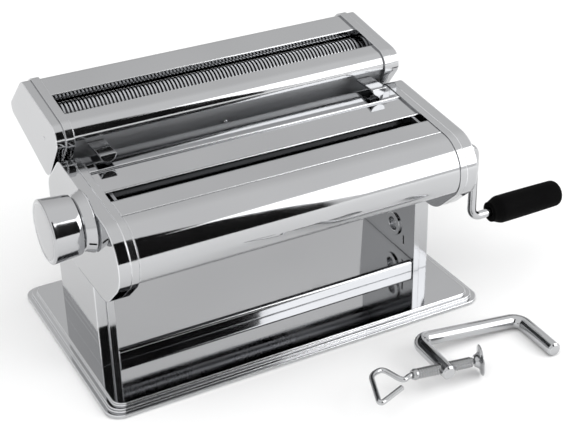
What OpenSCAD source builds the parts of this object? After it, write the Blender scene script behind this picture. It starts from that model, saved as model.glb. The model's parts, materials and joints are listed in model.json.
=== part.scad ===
// Hand-cranked pasta roller machine with a lift-off cutter unit and a table clamp.
// Millimetres. +X runs towards the crank, +Y towards the back, +Z up.
// The origin is the centre of the footprint, on the table.

/* [Base] */
// Length of the base plate, side to side
base_l = 230; // [222:1:250]
// Depth of the base plate, front to back
base_d = 141; // [132:1:160]
// Corner radius of the base plate
base_corner = 9; // [4:1:16]
// Sheet thickness of the base plate
base_t = 1.2; // [0.8:0.1:2]
// Height of the pressed base
base_h = 5; // [4:0.5:9]
// Width of one step of the beaded rim
rim_step = 2.6; // [1.5:0.1:4]
// How far the rubber mat stands proud of the rim
foot_proud = 0.5; // [0.3:0.1:2]

/* [Side housings] */
// Width over the two side covers
head_w = 208.6; // [204:0.2:212]
// Depth of a side cover, from its face to its seam
cover_w = 6.8; // [6:0.1:9]
// Width of the frame strip that shows inside the seam
frame_w = 4; // [3.5:0.1:6]
// Sheet thickness of a side cover
cover_t = 1; // [0.6:0.1:1.5]
// Plate thickness of a side frame
frame_t = 1.5; // [1:0.1:2]
// Front of the legs
leg_front = -30.5; // [-38:0.5:-28]
// Back of the legs
leg_back = 27; // [22:0.5:30]
// How far a leg is set back from the face of its head
leg_step = 0.8; // [0.3:0.1:1.5]
// How far the foot of a leg flares out
flare_w = 3.4; // [1:0.1:5]
// Radius of the flare
flare_r = 16; // [8:1:24]
// Height of the underside of the head above the table
chin_z = 58; // [54:0.5:64]

/* [Rollers] */
// Diameter of the smooth sheeting rollers
roller_d = 29; // [26:0.5:30]
// Gap between the rollers at the thinnest setting
roller_gap = 0.4; // [0.2:0.1:1]
// How far the back roller moves at the thickest setting
gap_travel = 2.4; // [1:0.2:3]
// Front-to-back place of the gap
nip_y = -36.5; // [-38:0.5:-34]
// Height of the roller axes above the table
axis_z = 91.5; // [89:0.5:94]
// Diameter of a roller journal
journal_d = 12; // [10:0.5:13]
// Teeth on each roller gear
roller_teeth = 14; // [12:2:18]
// Face width of a roller gear
gear_w = 4; // [3:0.5:4.5]
// Room between roller and shell
shell_room = 5; // [4:0.5:7]

/* [Knob and crank] */
// Diameter of the knob at its face
knob_d = 33.6; // [30:0.5:36]
// Diameter of the knob and its boss at the waist
waist_d = 28.4; // [24:0.2:30]
// Length of the knob
knob_l = 16.4; // [9:0.2:18]
// Length of the fixed boss under the knob
boss_l = 6.4; // [6:0.2:12]
// How far the knob pulls out
knob_pull = 4; // [2:0.5:5]
// Diameter of the crank rod
crank_d = 5; // [4:0.5:6]
// Distance from the drive axis down to the grip axis
crank_throw = 46; // [35:1:70]
// Face-to-arm distance of the crank
crank_out = 14.2; // [10:0.2:20]
// Length of the grip
grip_l = 54; // [40:1:70]
// Largest diameter of the grip
grip_d = 16.4; // [12:0.2:20]

/* [Cutter unit] */
// Width over the two outer caps
cutter_w = 207.2; // [203:0.2:210]
// Depth of an outer cap
cap_w = 5.2; // [4:0.1:7]
// Width of the end plate strip that shows inside the seam
plate_w = 4.6; // [4:0.1:6]
// Pitch of the rings on one fine roller
fine_pitch = 2.2; // [2:0.1:3]
// Diameter of a fine roller over its rings
fine_d = 17; // [15:0.5:17.5]
// Depth of the grooves between the fine rings
fine_groove = 2; // [1:0.1:2.5]
// Pitch of the rings on one wide roller
wide_pitch = 13; // [8:0.5:16]
// Diameter of a wide roller over its rings
wide_d = 14; // [12:0.5:15]
// Depth of the grooves between the wide rings
wide_groove = 1.6; // [1:0.1:2]
// Play between meshing rings, per side
ring_play = 0.1; // [0.05:0.01:0.2]

/* [Table clamp] */
// Diameter of the clamp rod
clamp_d = 8; // [6:0.5:9]
// Length of the clamp's back, centre to centre
clamp_back = 67.4; // [50:1:80]
// Length of a clamp arm from the back's axis
clamp_arm = 34; // [28:1:45]
// Diameter of the clamp screw
screw_d = 6; // [5:0.5:7]
// Length of the clamp screw's thread
screw_l = 37; // [30:1:50]
// Thickness of the wire handle
wire_d = 3; // [2:0.5:4]

/* [Hidden] */
$fn = 64;
eps = 0.05;         // overcut of a cutting shape
run = 0.05;         // radial running clearance of a shaft
slip = 0.3;         // clearance of parts that pass each other

// Heights and side planes
base_z = foot_proud;
deck_z = foot_proud + base_h;
face_x = head_w / 2;
seam_x = face_x - cover_w;
web_x = seam_x - frame_w;
leg_x = face_x - leg_step;
sheet = 1;                          // thickness of the formed sheets
panel_x = web_x - 0.2;              // half length of the sheets between the frames

// Roller axes
roller_r = roller_d / 2;
axis_gap = roller_d + roller_gap;
front_y = nip_y - axis_gap / 2;
rear_y = nip_y + axis_gap / 2;
journal_r = journal_d / 2;
crown_z = axis_z + roller_r + 2;

// Corner circles of the head, anticlockwise from the chin: [y, z, radius]
chin_r = 18;
back_r = 4;
nose_r = roller_r + shell_room;
nose_y = front_y - 3.3;
nose_z = axis_z - 3.5;
shoulder_r = 10.5;
crown_r = 6;
head = [
    [front_y + 7.2, chin_z + chin_r, chin_r],
    [leg_back - back_r, chin_z + back_r, back_r],
    [leg_back - shoulder_r, axis_z - 2.2, shoulder_r],
    [leg_back - 24, crown_z, crown_r],
    [nose_y, nose_z, nose_r]];

// Point pair of the outer tangent of two corner circles, inset by i
function tangent(a, b, i) =
    let (d = norm([b[0] - a[0], b[1] - a[1]]),
         u = [b[0] - a[0], b[1] - a[1]] / d,
         s = (a[2] - b[2]) / d,
         c = sqrt(1 - s * s),
         n = [u[0] * s + u[1] * c, u[1] * s - u[0] * c])
    [[a[0], a[1]] + n * (a[2] - i), [b[0], b[1]] + n * (b[2] - i)];

tuck = 0.008;       // straight runs meet their corner arcs this far inside, at a clean crossing

// Closed outline round a ring of corner circles, inset by i
module belt(corners, i = 0) {
    n = len(corners);
    polygon([for (k = [0:n - 1]) each tangent(corners[k], corners[(k + 1) % n], i + tuck)]);
    for (c = corners) translate([c[0], c[1]]) circle(r = c[2] - i);
}

// Side outline of the machine: head and leg, inset by i
module side_outline(i = 0, foot = 0) {
    belt(head, i);
    translate([leg_front + i, deck_z + foot])
        square([leg_back - leg_front - 2 * i, chin_z - deck_z - foot + 4]);
}

// Extrudes a y-z outline along x, from x0 over length l
module along_x(x0, l) {
    translate([x0, 0, 0]) rotate([90, 0, 90]) linear_extrude(l) children();
}

// Extrudes an x-z outline along y, from y0 over length l
module along_y(y0, l) {
    translate([0, y0 + l, 0]) rotate([90, 0, 0]) linear_extrude(l) children();
}

// Round bar along x
module bar_x(x0, l, y, z, r) {
    translate([x0, y, z]) rotate([0, 90, 0]) cylinder(h = l, r = r);
}

// Draws a right-hand part, or its mirror image for side -1
module on_side(side) {
    if (side > 0) children();
    else mirror([1, 0, 0]) children();
}

// Rectangle with round corners, centred
module round_rect(l, d, r) {
    square([l - 2 * r, d], center = true);
    square([l, d - 2 * r], center = true);
    for (sx = [-1, 1], sy = [-1, 1])
        translate([sx * (l / 2 - r), sy * (d / 2 - r)]) circle(r = r);
}

// ---------------------------------------------------------------- base

module base_block(inset, z0, h) {
    translate([0, 0, z0]) linear_extrude(h)
        round_rect(base_l - 2 * inset, base_d - 2 * inset, base_corner - inset / 2);
}

leg_mid = (leg_front + leg_back) / 2;
foot_screw_x = (web_x + frame_t + seam_x) / 2;
foot_screw_y = [leg_front + 12, leg_back - 12];
foot_screw_r = 1.1;
screw_head_r = 2.4;
screw_head_h = 1.5;

module base_plate() color("gainsboro") difference() {
    union() {
        base_block(0, base_z, base_h * 0.36);
        base_block(rim_step, base_z, base_h * 0.72);
        base_block(2 * rim_step, base_z, base_h);
    }
    base_block(base_t, base_z - eps, base_h * 0.36 - base_t + eps);
    base_block(rim_step + base_t, base_z - eps, base_h * 0.72 - base_t + eps);
    base_block(2 * rim_step + base_t, base_z - eps, base_h - base_t + eps);
    for (sx = [-1, 1], y = foot_screw_y)
        translate([sx * foot_screw_x, y, base_z]) cylinder(h = base_h + 1, r = foot_screw_r);
}

module base_mat() color("dimgray") difference() {
    base_block(2 * rim_step + base_t + slip, 0, deck_z - base_t);
    for (sx = [-1, 1], y = foot_screw_y) translate([sx * foot_screw_x, y, deck_z - base_t - 2.5])
        cylinder(h = 3, r = screw_head_r + 0.4);
}

// ---------------------------------------------------------------- side frames

// Tie rods between the side frames: [y, z]
tie_r = 3.5;
tie_end_r = 2.5;
ties = [[leg_back - 6, chin_z + 9], [leg_front + 6.5, chin_z + 8]];
bar_y = rear_y + roller_r + 7;
bar_r = 3;
bush_r = journal_r + 2;
socket_y = leg_front + 22;
socket_z = deck_z + 22.5;
socket_r = 6.2;
slit_y = leg_front + 11.5;
slit_z = deck_z + 13;
slit_h = 6;
slit_w = 1.4;
knob_y = nip_y + 1.5;
knob_z = axis_z + 7;
shaft_r = 4;
shaft_end_r = 3;

// Slot in y for a bar of radius r that travels with the back roller
module travel_slot(y, r) {
    translate([y, axis_z]) circle(r = r + slip);
    translate([y + gap_travel, axis_z]) circle(r = r + slip);
    translate([y, axis_z - r - slip]) square([gap_travel, 2 * (r + slip)]);
}

module side_frame(side) color("silver") on_side(side) difference() {
    along_x(web_x, frame_w) side_outline();
    along_x(web_x + frame_t, frame_w) side_outline(frame_t, frame_t);
    bar_x(web_x - eps, frame_t + 2 * eps, front_y, axis_z, bush_r);
    along_x(web_x - eps, frame_t + 2 * eps) {
        travel_slot(rear_y, journal_r);
        travel_slot(bar_y, bar_r);
        translate([slit_y - slit_w / 2, slit_z]) square([slit_w, slit_h]);
    }
    for (t = ties) bar_x(web_x - eps, frame_t + 2 * eps, t[0], t[1], tie_end_r);
    if (side > 0) bar_x(web_x - eps, frame_t + 2 * eps, socket_y, socket_z, socket_r);
    if (side < 0) bar_x(web_x - eps, frame_t + 2 * eps, knob_y, knob_z, shaft_end_r + run);
    for (y = foot_screw_y) translate([foot_screw_x, y, deck_z - eps])
        cylinder(h = frame_t + 2 * eps, r = foot_screw_r);
}

module left_side_frame() side_frame(-1);
module right_side_frame() side_frame(1);

// ---------------------------------------------------------------- side covers

flare_turn = acos(1 - flare_w / flare_r);
flare_h = flare_r * sin(flare_turn);

leg_tuck = 0.2;             // the leg's back edge lies this far inside the frame's

// Outline of a leg seen from the front, its outer face moved in by i
module leg_section(i) {
    translate([seam_x, deck_z]) square([leg_x - i - seam_x, chin_z - deck_z + 4]);
    difference() {
        translate([leg_x - i - eps, deck_z]) square([flare_w + i + eps, flare_h]);
        translate([leg_x + flare_r, deck_z + flare_h]) circle(r = flare_r + i, $fn = 128);
    }
}

module side_cover(side) color("silver") on_side(side) difference() {
    union() {
        along_x(seam_x, cover_w) belt(head);
        along_y(leg_front + 1, leg_back - leg_front - 1 - leg_tuck) leg_section(0);
    }
    along_x(seam_x - eps, cover_w - cover_t + eps) belt(head, cover_t);
    along_y(leg_front + 1 + cover_t, leg_back - leg_front - 1 - leg_tuck - 2 * cover_t)
        translate([-eps, -eps]) leg_section(cover_t);
    if (side > 0) {
        bar_x(leg_x - 5, 12, socket_y, socket_z, socket_r);
        bar_x(face_x - 5, 12, front_y, axis_z, crank_hole_r);
    }
    if (side < 0) bar_x(face_x - 5, 12, knob_y, knob_z, shaft_r + 1);
}

crank_hole_r = crank_d / 2 + 2;

module left_side_cover() side_cover(-1);
module right_side_cover() side_cover(1);

// ---------------------------------------------------------------- sheets between the frames

throat_front = nip_y - 3.9;
throat_back = nip_y + 5.4;
front_seam = front_y - 3.1;
rear_seam = rear_y + 10.4;
skin = 0.4;                 // how deep the top sheets lie under the strip of the frames
front_low_z = axis_z - 12.5;
chute_back_z = deck_z + 13;

// Sheet that follows the head, at depth d, inside a clipping outline
module head_sheet(d) {
    along_x(-panel_x, 2 * panel_x) intersection() {
        difference() {
            side_outline(d);
            side_outline(d + sheet, sheet);
        }
        children();
    }
}

bead_r = 1.3;

module front_cover() color("silver") {
    head_sheet(skin) translate([-200, front_low_z]) square([200 + front_seam, 100]);
    bar_x(-panel_x, 2 * panel_x, nose_y - sqrt(pow(nose_r - skin - bead_r, 2) -
        pow(front_low_z - nose_z, 2)), front_low_z, bead_r);
}

module front_guard() color("silver") {
    head_sheet(skin) translate([front_seam + 0.3, axis_z]) square([throat_front - front_seam - 0.3, 60]);
    along_x(-panel_x, 2 * panel_x)
        translate([throat_front - sheet, axis_z + roller_r - 1.5]) square([sheet, 3.6]);
}

module rear_guard() color("silver") {
    head_sheet(skin + sheet) translate([throat_back, axis_z]) square([rear_seam - throat_back + 4, 60]);
    along_x(-panel_x, 2 * panel_x)
        translate([throat_back, axis_z + roller_r - 1]) square([sheet, 4.2]);
}

module rear_cover() color("silver") head_sheet(skin) {
    translate([rear_seam, axis_z]) square([100, 100]);
    translate([leg_back - 8, chin_z + 4]) square([100, 100]);
}

chute_r = 2.5;
chute_front_z = deck_z + 11;
chute_x = panel_x;

// Quarter arc of radius r about (cy, cz), from its front to its top
function arc_pts(cy, cz, r) = [for (a = [0:15:90]) [cy - r * cos(a), cz + r * sin(a)]];

module chute_tray() color("silver") {
    front = leg_front + 0.8;
    back = leg_back - skin - sheet - 0.4;
    outer = arc_pts(front + chute_r, chute_front_z - chute_r, chute_r);
    inner = arc_pts(front + chute_r, chute_front_z - chute_r, chute_r - sheet);
    along_x(-chute_x, 2 * chute_x) polygon(concat([[front, deck_z]], outer,
        [[back, chute_back_z], [back, deck_z], [back - sheet, deck_z], [back - sheet, chute_back_z - sheet]],
        [for (k = [len(inner) - 1:-1:0]) inner[k]],
        [[front + sheet, deck_z + sheet], [front + 6, deck_z + sheet], [front + 6, deck_z]]));
}

// Dough guides at the two ends of the hopper, pointed between the rollers
guide_t = 1.6;
module hopper_end_guards() color("silver") for (sx = [-1, 1])
    along_x(sx > 0 ? web_x - guide_t - 3 : -web_x + 3, guide_t) difference() {
        polygon([[throat_front, crown_z - 1], [throat_back, crown_z],
            [throat_back, axis_z + 8], [nip_y, axis_z + 1], [throat_front, axis_z + 8]]);
        translate([front_y, axis_z]) circle(r = roller_r + slip);
        translate([rear_y, axis_z]) circle(r = roller_r + slip);
    }

// Scrapers that keep the sheet off the rollers, hung from two folded strips
scraper_t = 0.8;
module roller_scraper(y, dir) {
    low = axis_z - roller_r - 4;
    along_x(-panel_x, 2 * panel_x) polygon([
        [y + dir * 3, axis_z - sqrt(pow(roller_r + slip, 2) - 9)],
        [y + dir * 3.4, axis_z - sqrt(pow(roller_r + slip, 2) - 9) - scraper_t],
        [y - dir * 8, low - scraper_t - 2], [y - dir * 8, low - 2]]);
}
module roller_scrapers() color("lightgray") {
    roller_scraper(front_y, 1);
    roller_scraper(rear_y, -1);
}

module tie_rods() color("lightgray") for (t = ties) {
    bar_x(-web_x, 2 * web_x, t[0], t[1], tie_r);
    bar_x(-web_x - frame_t - 2.4, 2 * (web_x + frame_t + 2.4), t[0], t[1], tie_end_r);
}

module tie_rod_nuts() color("gray") for (sx = [-1, 1], t = ties)
    translate([sx > 0 ? web_x + frame_t : -web_x - frame_t - 2, t[0], t[1]])
        rotate([0, 90, 0]) difference() {
            cylinder(h = 2, r = 4.4, $fn = 6);
            translate([0, 0, -eps]) cylinder(h = 2 + 2 * eps, r = tie_end_r);
        }

module frame_screws() color("gray") for (sx = [-1, 1], y = foot_screw_y)
    translate([sx * foot_screw_x, y, 0]) {
        translate([0, 0, deck_z - base_t - screw_head_h])
            cylinder(h = base_t + frame_t + screw_head_h, r = foot_screw_r);
        translate([0, 0, deck_z - base_t - screw_head_h]) cylinder(h = screw_head_h, r = screw_head_r);
    }

module front_roller_bushes() color("goldenrod") for (side = [-1, 1]) on_side(side)
    difference() {
        bar_x(web_x, frame_t + 0.2, front_y, axis_z, bush_r);
        bar_x(web_x - eps, 10, front_y, axis_z, journal_r + run);
    }

// Tube through the right leg that takes the plain arm of the table clamp
clamp_fit = 0.3;
module clamp_socket() color("gainsboro") difference() {
    union() {
        bar_x(web_x, leg_x - web_x + 1, socket_y, socket_z, socket_r);
        bar_x(web_x - 1, 1, socket_y, socket_z, socket_r + 1);
    }
    bar_x(web_x - 2, 30, socket_y, socket_z, clamp_d / 2 + clamp_fit);
}

// Channels on the back of the side frames that the cutter unit's tongues drop into
tongue_w = 7;
tongue_t = 2;
tongue_x = web_x - tongue_w / 2 - 3;
tongue_y = leg_back + 2.6;
bracket_h = 18;
bracket_z = axis_z - 23;
bracket_wall = 1.4;
bracket_front = leg_back - skin;
bracket_back = tongue_y + tongue_t / 2 + slip + bracket_wall;
module cutter_brackets() color("silver") for (sx = [-1, 1]) translate([sx * tongue_x, 0, bracket_z])
    difference() {
        translate([-tongue_w / 2 - 2, bracket_front, 0])
            cube([tongue_w + 4, bracket_back - bracket_front, bracket_h]);
        translate([-tongue_w / 2 - slip, tongue_y - tongue_t / 2 - slip, bracket_wall])
            cube([tongue_w + 2 * slip, tongue_t + 2 * slip, bracket_h]);
    }

// ---------------------------------------------------------------- thickness regulator

boss_x = face_x;
knob_x = boss_x + boss_l + 0.3;
boss_d = knob_d - 1;
detents = 7;
detent_r = 1;
detent_ring = waist_d / 2 - 4;
detent_groove = detent_r + 0.4;   // half width of the ring groove that the knob's pin runs in
detent_groove_h = 0.8;

module dial_boss() color("silver") on_side(-1) difference() {
    translate([boss_x, knob_y, knob_z]) rotate([0, 90, 0]) rotate_extrude(convexity = 4)
        polygon([[shaft_r + run, -cover_t - 1], [shaft_r + 0.9, -cover_t - 1], [shaft_r + 0.9, 0],
            [boss_d / 2 - 1, 0], [boss_d / 2, 1], [waist_d / 2, boss_l - 0.6],
            [waist_d / 2 - 0.6, boss_l], [detent_ring + detent_groove, boss_l],
            [detent_ring + detent_groove, boss_l - detent_groove_h],
            [detent_ring - detent_groove, boss_l - detent_groove_h],
            [detent_ring - detent_groove, boss_l], [shaft_r + run, boss_l]]);
    for (k = [0:detents - 1]) rotate_about(knob_y, knob_z, 180 / (detents - 1) * k)
        bar_x(boss_x + boss_l - 1, 2, knob_y, knob_z + detent_ring, detent_r + 0.3);
}

// Turns children about the x axis through (y, z)
module rotate_about(y, z, a) {
    translate([0, y, z]) rotate([a, 0, 0]) translate([0, -y, -z]) children();
}

cam_throw = gap_travel / 2;
cam_r = 5.2;
carrier_x = web_x + frame_t + 0.4;
carrier_t = 2;

module knob_shaft() color("gray") on_side(-1) {
    bar_x(web_x + 0.1, carrier_x + carrier_t - web_x, knob_y, knob_z, shaft_end_r);
    bar_x(carrier_x + carrier_t, knob_x + knob_l - 3 - carrier_x - carrier_t, knob_y, knob_z, shaft_r);
}

module knob_cam() color("dimgray") on_side(-1) difference() {
    bar_x(carrier_x, carrier_t, knob_y - cam_throw, knob_z, cam_r);
    bar_x(carrier_x - eps, carrier_t + 2 * eps, knob_y, knob_z, shaft_end_r);
}

rim_l = 1.2;
module thickness_knob() color("silver") on_side(-1) {
    translate([knob_x, knob_y, knob_z]) rotate([0, 90, 0]) rotate_extrude(convexity = 6)
        polygon([[shaft_r + run, 0], [detent_ring - 2, 0], [waist_d / 2 - 0.6, 0], [waist_d / 2, 0.6],
            [knob_d / 2 - 0.5, knob_l - rim_l - 0.8], [knob_d / 2, knob_l - rim_l],
            [knob_d / 2, knob_l - 0.5], [knob_d / 2 - 0.5, knob_l], [0, knob_l],
            [0, knob_l - 2.4], [shaft_r + run, knob_l - 2.4]]);
    bar_x(knob_x - 1, 2, knob_y, knob_z + detent_ring, detent_r);
}

// ---------------------------------------------------------------- rollers and gears

// Involute gear outline: n teeth, pitch radius pr, tooth play b in degrees
pressure = 25;
function inv_pt(rb, t) = [rb * (cos(t) + t * PI / 180 * sin(t)), rb * (sin(t) - t * PI / 180 * cos(t))];
function spin(p, a) = [p[0] * cos(a) - p[1] * sin(a), p[0] * sin(a) + p[1] * cos(a)];
module gear_outline(n, pr, play = 0.8) {
    m = 2 * pr / n;
    rb = pr * cos(pressure);
    ro = pr + m * 0.95;
    rr = pr - m * 1.2;
    t_out = acos(rb / ro) > 0 ? tan(acos(rb / ro)) * 180 / PI : 0;
    inv_p = tan(pressure) * 180 / PI - pressure;
    half = 90 / n - play + inv_p;
    steps = 4;
    flank = [for (k = [0:steps]) spin(inv_pt(rb, t_out * k / steps), -half)];
    tooth = concat([spin([min(rr, rb), 0], -half)], flank,
        [for (k = [steps:-1:0]) [flank[k][0], -flank[k][1]]], [spin([min(rr, rb), 0], half)]);
    polygon([for (k = [0:n - 1]) each [for (p = tooth) spin(p, 360 / n * k)]]);
}

gear_x = web_x + frame_t + 3.4;
bore_l = 24;

module smooth_roller(y) {
    bar_x(-web_x + 0.6, 2 * web_x - 1.2, y, axis_z, roller_r);
}

module front_roller() color("whitesmoke") difference() {
    union() {
        smooth_roller(front_y);
        bar_x(-web_x - frame_t - 0.2, 10, front_y, axis_z, journal_r);
        bar_x(web_x - 3, gear_x - web_x + 3, front_y, axis_z, journal_r);
        bar_x(web_x, gear_x + gear_w - web_x + 0.4, front_y, axis_z, journal_r - 1.5);
    }
    bar_x(gear_x + gear_w + 0.4 - bore_l, bore_l + 1, front_y, axis_z, crank_d / 2 + run);
}

module rear_roller() color("whitesmoke") {
    smooth_roller(rear_y);
    bar_x(-carrier_x - carrier_t, 10, rear_y, axis_z, journal_r);
    bar_x(web_x - 3, gear_x - web_x + 3, rear_y, axis_z, journal_r);
    bar_x(web_x, gear_x + gear_w - web_x, rear_y, axis_z, journal_r - 1.5);
}

gear_tip = 0.55;             // stubbed teeth, which clear the cover
module roller_gear(y, phase) {
    along_x(gear_x, gear_w) translate([y, axis_z]) difference() {
        intersection() {
            rotate(phase) gear_outline(roller_teeth, axis_gap / 2);
            circle(r = axis_gap / 2 + gear_tip);
        }
        circle(r = journal_r - 1.5);
    }
}

module front_roller_gear() color("gray") roller_gear(front_y, 0);
module rear_roller_gear() color("gray") roller_gear(rear_y, 180 / roller_teeth + 180);

// Plates outside the frames that carry the back roller and slide with it
window_h = 2 * (cam_r + cam_throw + 0.4);
module rear_roller_carriers() color("darkgray") for (side = [-1, 1]) on_side(side)
    along_x(carrier_x, carrier_t) difference() {
        union() {
            translate([rear_y, axis_z]) circle(r = journal_r + 4.4);
            translate([rear_y, axis_z - 5]) square([bar_y - rear_y, 10]);
            translate([bar_y, axis_z]) circle(r = bar_r + 2.6);
            if (side < 0) translate([knob_y - cam_throw - cam_r - 3, knob_z - window_h / 2 - 1.6])
                square([rear_y - knob_y + cam_throw + cam_r + 3 - journal_r, window_h + 3.2]);
        }
        translate([rear_y, axis_z]) circle(r = journal_r + run);
        translate([bar_y, axis_z]) circle(r = bar_r - 0.5);
        if (side < 0) translate([knob_y - cam_throw - cam_r - 0.35, knob_z - window_h / 2])
            square([2 * cam_r + 0.7, window_h]);
    }

module carrier_bar() color("gray") {
    bar_x(-carrier_x, 2 * carrier_x, bar_y, axis_z, bar_r);
    bar_x(-carrier_x - carrier_t, 2 * (carrier_x + carrier_t), bar_y, axis_z, bar_r - 0.5);
}

// ---------------------------------------------------------------- crank

bend_r = 6;
crank_x = face_x + crank_out;
crank_in = 18;
grip_gap = 4.4;
grip_x = crank_x + bend_r + 1.6;
grip_z = axis_z - crank_throw;

module crank_rod() color("silver") {
    r = crank_d / 2;
    tail = gear_x + gear_w - crank_in;
    bar_x(tail, crank_x - bend_r - tail, front_y, axis_z, r);
    translate([crank_x - bend_r, front_y, axis_z - bend_r]) rotate([90, 0, 0])
        rotate_extrude(angle = 90, convexity = 4) translate([bend_r, 0]) circle(r = r);
    translate([crank_x, front_y, grip_z + bend_r])
        cylinder(h = crank_throw - 2 * bend_r, r = r);
    translate([crank_x + bend_r, front_y, grip_z + bend_r]) rotate([90, 0, 0])
        rotate([0, 0, 180]) rotate_extrude(angle = 90, convexity = 4) translate([bend_r, 0]) circle(r = r);
    bar_x(crank_x + bend_r, grip_x + grip_l - 5 - crank_x - bend_r, front_y, grip_z, r);
    bar_x(grip_x + grip_l - 5.6, 1.4, front_y, grip_z, r + 1.5);
}

module crank_grip() color("black") {
    r0 = grip_d * 0.36;
    r1 = grip_d / 2;
    bore = crank_d / 2 + run;
    head_bore = crank_d / 2 + 1.9;
    translate([grip_x, front_y, grip_z]) rotate([0, 90, 0]) rotate_extrude(convexity = 6)
        difference() {
            union() {
                polygon([[0, 1.6], [r0 - 1.2, 0.4], [r0, 1.6], [r0 + 0.3, 6], [r1 - 0.9, grip_l * 0.45],
                    [r1, grip_l * 0.75], [r1 - 0.3, grip_l - 4], [0, grip_l - 4]]);
                polygon([[0, grip_l - 4], [r1 - 0.3, grip_l - 4], [r1 - 1.4, grip_l - 1.4],
                    [r1 - 4, grip_l - 0.1], [0, grip_l]]);
            }
            translate([0, -1]) square([bore, grip_l - 5]);
            translate([0, grip_l - 6]) square([head_bore, 2.2]);
        }
}

// ---------------------------------------------------------------- cutter unit

cap_x = cutter_w / 2;
cap_seam = cap_x - cap_w;
plate_x = cap_seam - plate_w;
plate_t = 1.5;
cut_y = leg_back - 13;          // front corner circle of the caps
cut_z = axis_z + 32;
cap_nose_r = 8;
cap = [
    [cut_y, cut_z, cap_nose_r],
    [cut_y + 17, cut_z - 19, 9.5],
    [cut_y + 66.5, cut_z - 9, 4.5],
    [cut_y + 43, cut_z + 9, 6]];
proud = 0.8;

// Axes of the cutter rollers: [y, z]
fine_gap = fine_d - fine_groove + 2 * ring_play;
wide_gap = wide_d - wide_groove + 2 * ring_play;
tilt = 9;
fine_rear = [cut_y + 23, cut_z - 1];
fine_front = [fine_rear[0] - fine_gap * cos(tilt), fine_rear[1] - fine_gap * sin(tilt)];
wide_tilt = -24;
wide_upper = [cut_y + 42, cut_z - 2];
wide_lower = [wide_upper[0] + wide_gap * cos(wide_tilt), wide_upper[1] + wide_gap * sin(wide_tilt)];
pin_r = 3.5;
cutters = [fine_rear, fine_front, wide_upper, wide_lower];

module cutter_cap(side) color("silver") on_side(side) difference() {
    along_x(cap_seam, cap_w) belt(cap);
    along_x(cap_seam - eps, cap_w - cover_t + eps) belt(cap, cover_t);
    if (side > 0) for (c = [fine_rear, wide_upper]) bar_x(cap_x - 4, 8, c[0], c[1], crank_hole_r + 1.2);
}

module left_cutter_cap() cutter_cap(-1);
module right_cutter_cap() cutter_cap(1);

module cutter_plate(side) color("silver") on_side(side) difference() {
    union() {
        along_x(plate_x, plate_w) belt(cap, -proud);
        translate([tongue_x - tongue_w / 2, tongue_y - tongue_t / 2, bracket_z + 1.5 + slip])
            cube([tongue_w, tongue_t, cut_z - 14 - bracket_z - 1.5]);
        translate([tongue_x - tongue_w / 2, tongue_y - tongue_t / 2, cut_z - 18])
            cube([plate_x - tongue_x + tongue_w / 2 + 0.5, tongue_t, 4]);
    }
    along_x(plate_x + plate_t, plate_w) belt(cap, plate_t);
    for (c = cutters) bar_x(plate_x - eps, plate_t + 2 * eps, c[0], c[1], pin_r + run);
}

module left_cutter_plate() cutter_plate(-1);
module right_cutter_plate() cutter_plate(1);

cut_panel_x = plate_x - 0.1;

// Sheet that follows the cutter caps at depth d, inside a clipping outline
module cap_sheet(d) {
    along_x(-cut_panel_x, 2 * cut_panel_x) intersection() {
        difference() {
            belt(cap, d);
            belt(cap, d + sheet);
        }
        children();
    }
}

slot_front = cut_y + 6;
slot_back = cut_y + 26;
rear_slot = cut_y + 50;
rear_slot_w = 9;

module cutter_top_cover() color("silver") {
    cap_sheet(skin) translate([slot_back, cut_z]) square([rear_slot - slot_back, 40]);
    along_x(-cut_panel_x, 2 * cut_panel_x)
        translate([slot_back, cut_z + 8.4]) square([sheet, 3.2]);
}
module cutter_nose_cover() color("silver") {
    cap_sheet(skin) translate([cut_y - 40, cut_z - 1.5]) square([slot_front - cut_y + 40, 40]);
    along_x(-cut_panel_x, 2 * cut_panel_x)
        translate([slot_front - sheet, cut_z + 5.4]) square([sheet, 3]);
}
panel_lean = 15;
panel_drop = 16;
module cutter_front_panel() color("silver") along_x(-cut_panel_x, 2 * cut_panel_x)
    translate([cut_y - 6.3, cut_z + 0.5]) rotate(panel_lean) translate([0, -panel_drop])
        square([sheet, panel_drop]);
module cutter_rear_panel() color("silver")
    cap_sheet(skin) translate([rear_slot + rear_slot_w, cut_z - 12]) square([60, 40]);

// Tongues that reach over the ridge of the rear cover, with a rounded drop at the front
hook_w = 9;
hook_x = web_x - 12;
hook_y = cut_y - 23;
hook_t = 1.2;
hook_z = cut_z - 5;
module cutter_hooks() color("silver") for (sx = [-1, 1]) translate([sx * hook_x, hook_y, hook_z]) {
    translate([-hook_w / 2, 0, -hook_t]) cube([hook_w, cut_y - 5.2 - hook_y, hook_t]);
    translate([0, hook_t, 0]) rotate([90, 0, 0]) difference() {
        cylinder(h = hook_t, r = hook_w / 2);
        translate([-hook_w, 0, -eps]) cube([2 * hook_w, hook_w, hook_t + 2 * eps]);
    }
}

// Ring roller: rings of pitch p over length l, starting at x0
module ring_roller(c, p, d, groove, x0, count) {
    r = d / 2;
    core = r - groove;
    ring = p / 2 - ring_play;
    translate([0, c[0], c[1]]) rotate([0, 90, 0]) rotate_extrude(convexity = 4)
        polygon(concat([[0, -plate_x + 0.6], [core, -plate_x + 0.6]],
            [for (k = [0:count - 1]) each [[core, x0 + k * p], [r, x0 + k * p],
                [r, x0 + k * p + ring], [core, x0 + k * p + ring]]],
            [[core, plate_x - 0.6], [0, plate_x - 0.6]]));
    bar_x(-plate_x - plate_t - 1, 2 * (plate_x + plate_t + 1), c[0], c[1], pin_r);
}

fine_n = floor(2 * (plate_x - 1.2) / fine_pitch);
fine_x0 = -fine_n * fine_pitch / 2;
wide_n = floor(2 * (plate_x - 1.2) / wide_pitch);
wide_x0 = -wide_n * wide_pitch / 2;

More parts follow.
